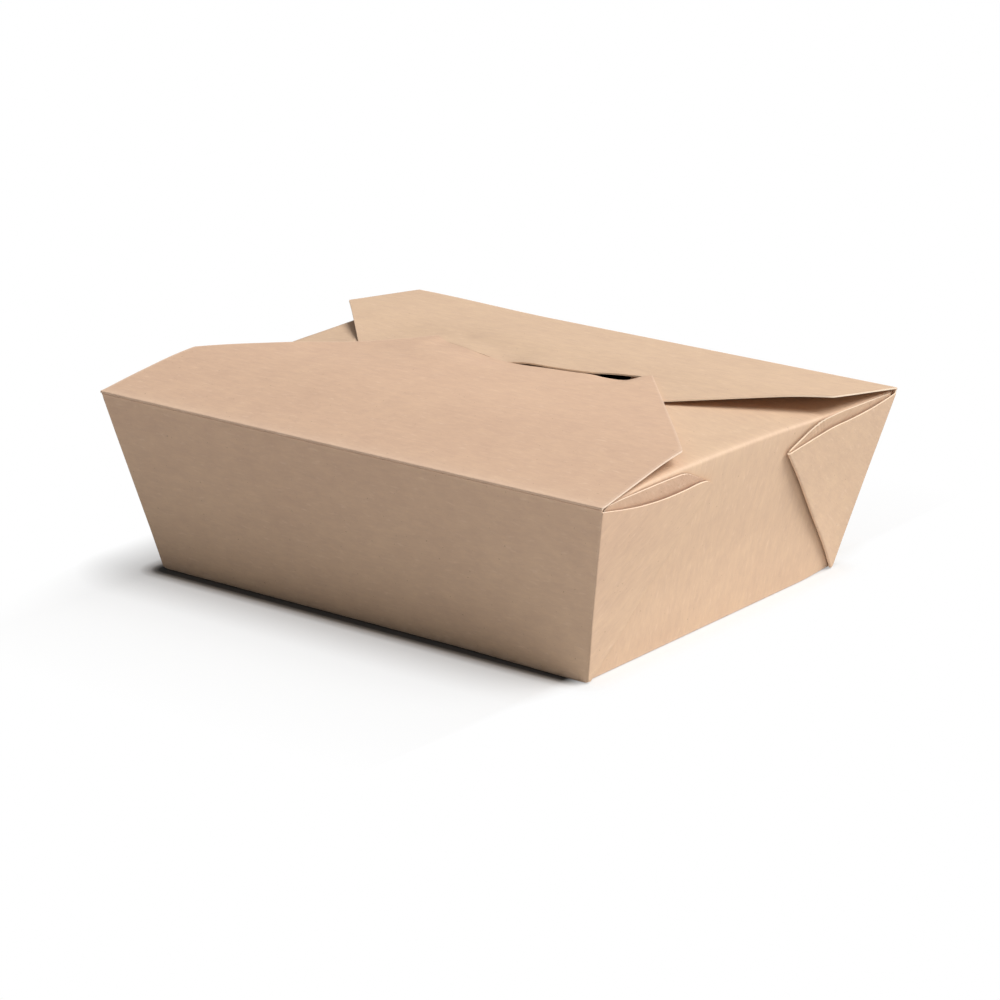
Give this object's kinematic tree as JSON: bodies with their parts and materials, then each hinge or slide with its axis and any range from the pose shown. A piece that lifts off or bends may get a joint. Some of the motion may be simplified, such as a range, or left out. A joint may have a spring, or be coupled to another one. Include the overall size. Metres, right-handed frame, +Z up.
{
  "type": "takeaway box",
  "caption": "Folded kraft card takeaway box with leaning walls, corner webs folded over the ends, and lapped top flaps locked by a tongue in a curved slit.",
  "frame": {"origin": "on the floor, under the middle of the base", "axes": "+X along the long walls, +Y from the front wall to the rear wall, +Z up"},
  "size_m": [0.1774, 0.1504, 0.0618],
  "materials": {
    "kraft_card": "uncoated unbleached kraft card, matt"
  },
  "bodies": {
    "box": {"box_body": "kraft_card"},
    "front_flap": {"front_flap": "kraft_card"}
  },
  "joints": [
    {"name": "front_flap_hinge", "type": "hinge", "parent": "box", "child": "front_flap", "pos_m": [0, -0.07466, 0.0545], "axis": [1, 0, 0], "range_deg": [0, 200]}
  ]
}
